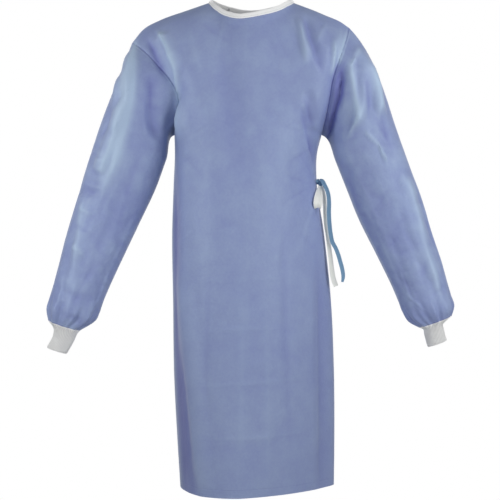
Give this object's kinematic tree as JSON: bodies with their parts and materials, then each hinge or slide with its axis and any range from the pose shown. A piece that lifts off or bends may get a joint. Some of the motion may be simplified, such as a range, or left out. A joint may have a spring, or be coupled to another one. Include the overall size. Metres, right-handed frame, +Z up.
{
  "type": "surgical gown",
  "caption": "Hollow worn form of a nonwoven surgical gown: front panel, lapped back panels, long sleeves with knit cuffs, bound neck and tied belt.",
  "frame": {"origin": "centre of the neck opening, level with the neck points of the two shoulder seams, where the wearer's shoulders hold it", "axes": "+Z up the body, the front faces -Y, +X is the wearer's left"},
  "size_m": [0.9567, 0.3148, 1.164],
  "materials": {
    "blue_cloth": "matte nonwoven",
    "white_knit": "matte rib knit",
    "white_binding": "matte folded strip",
    "blue_tie": "matte nonwoven",
    "white_tie": "matte nonwoven"
  },
  "bodies": {
    "root": {"front_panel": "blue_cloth", "back_panel_left": "blue_cloth", "back_panel_right": "blue_cloth", "sleeve_left": "blue_cloth", "sleeve_right": "blue_cloth", "cuff_left": "white_knit", "cuff_right": "white_knit", "neck_binding": "white_binding", "tie_blue_belt": "blue_tie", "tie_blue_tail": "blue_tie", "tie_knot": "blue_tie", "tie_white_loop": "white_tie", "tie_white_tail": "white_tie"}
  },
  "joints": []
}
